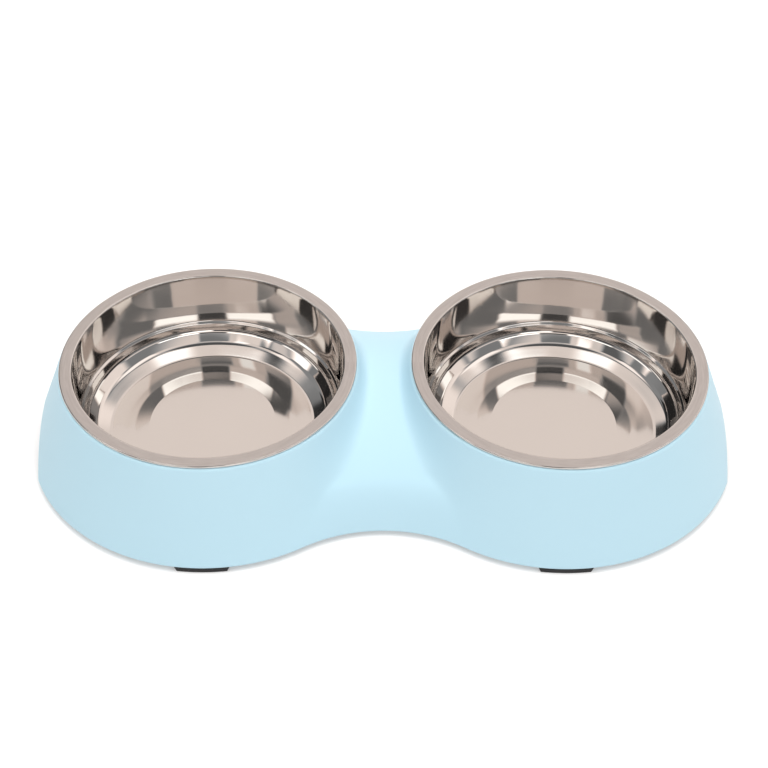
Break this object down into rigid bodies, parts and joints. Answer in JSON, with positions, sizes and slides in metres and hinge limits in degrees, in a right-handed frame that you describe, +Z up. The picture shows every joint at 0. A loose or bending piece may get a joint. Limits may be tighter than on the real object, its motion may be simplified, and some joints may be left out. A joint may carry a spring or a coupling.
{
  "type": "double pet bowl",
  "caption": "Low moulded stand with a drawn-in waist and a saddle in its middle, holding lift-out flanged steel food and water bowls side by side, on rubber feet.",
  "frame": {"origin": "middle of the stand, on the surface that the rubber feet stand on", "axes": "+X along the length from the left bowl to the right bowl, +Y from the front side to the rear side, +Z up out of the bowls"},
  "size_m": [0.3762, 0.2, 0.0581],
  "materials": {
    "stand_plastic": "pale sky blue moulded plastic with a fine satin surface",
    "bowl_steel": "stainless steel, bright polished inside, satin on the flange",
    "foot_rubber": "matte black rubber"
  },
  "bodies": {
    "stand": {"stand": "stand_plastic", "foot_front_left": "foot_rubber", "foot_front_right": "foot_rubber", "foot_rear_left": "foot_rubber", "foot_rear_right": "foot_rubber"},
    "bowl_left": {"bowl_left": "bowl_steel"},
    "bowl_right": {"bowl_right": "bowl_steel"}
  },
  "joints": [
    {"name": "bowl_left_lift", "type": "slide", "parent": "stand", "child": "bowl_left", "axis": [0, 0, 1], "range_m": [0, 0.08]},
    {"name": "bowl_right_lift", "type": "slide", "parent": "stand", "child": "bowl_right", "axis": [0, 0, 1], "range_m": [0, 0.08]}
  ]
}
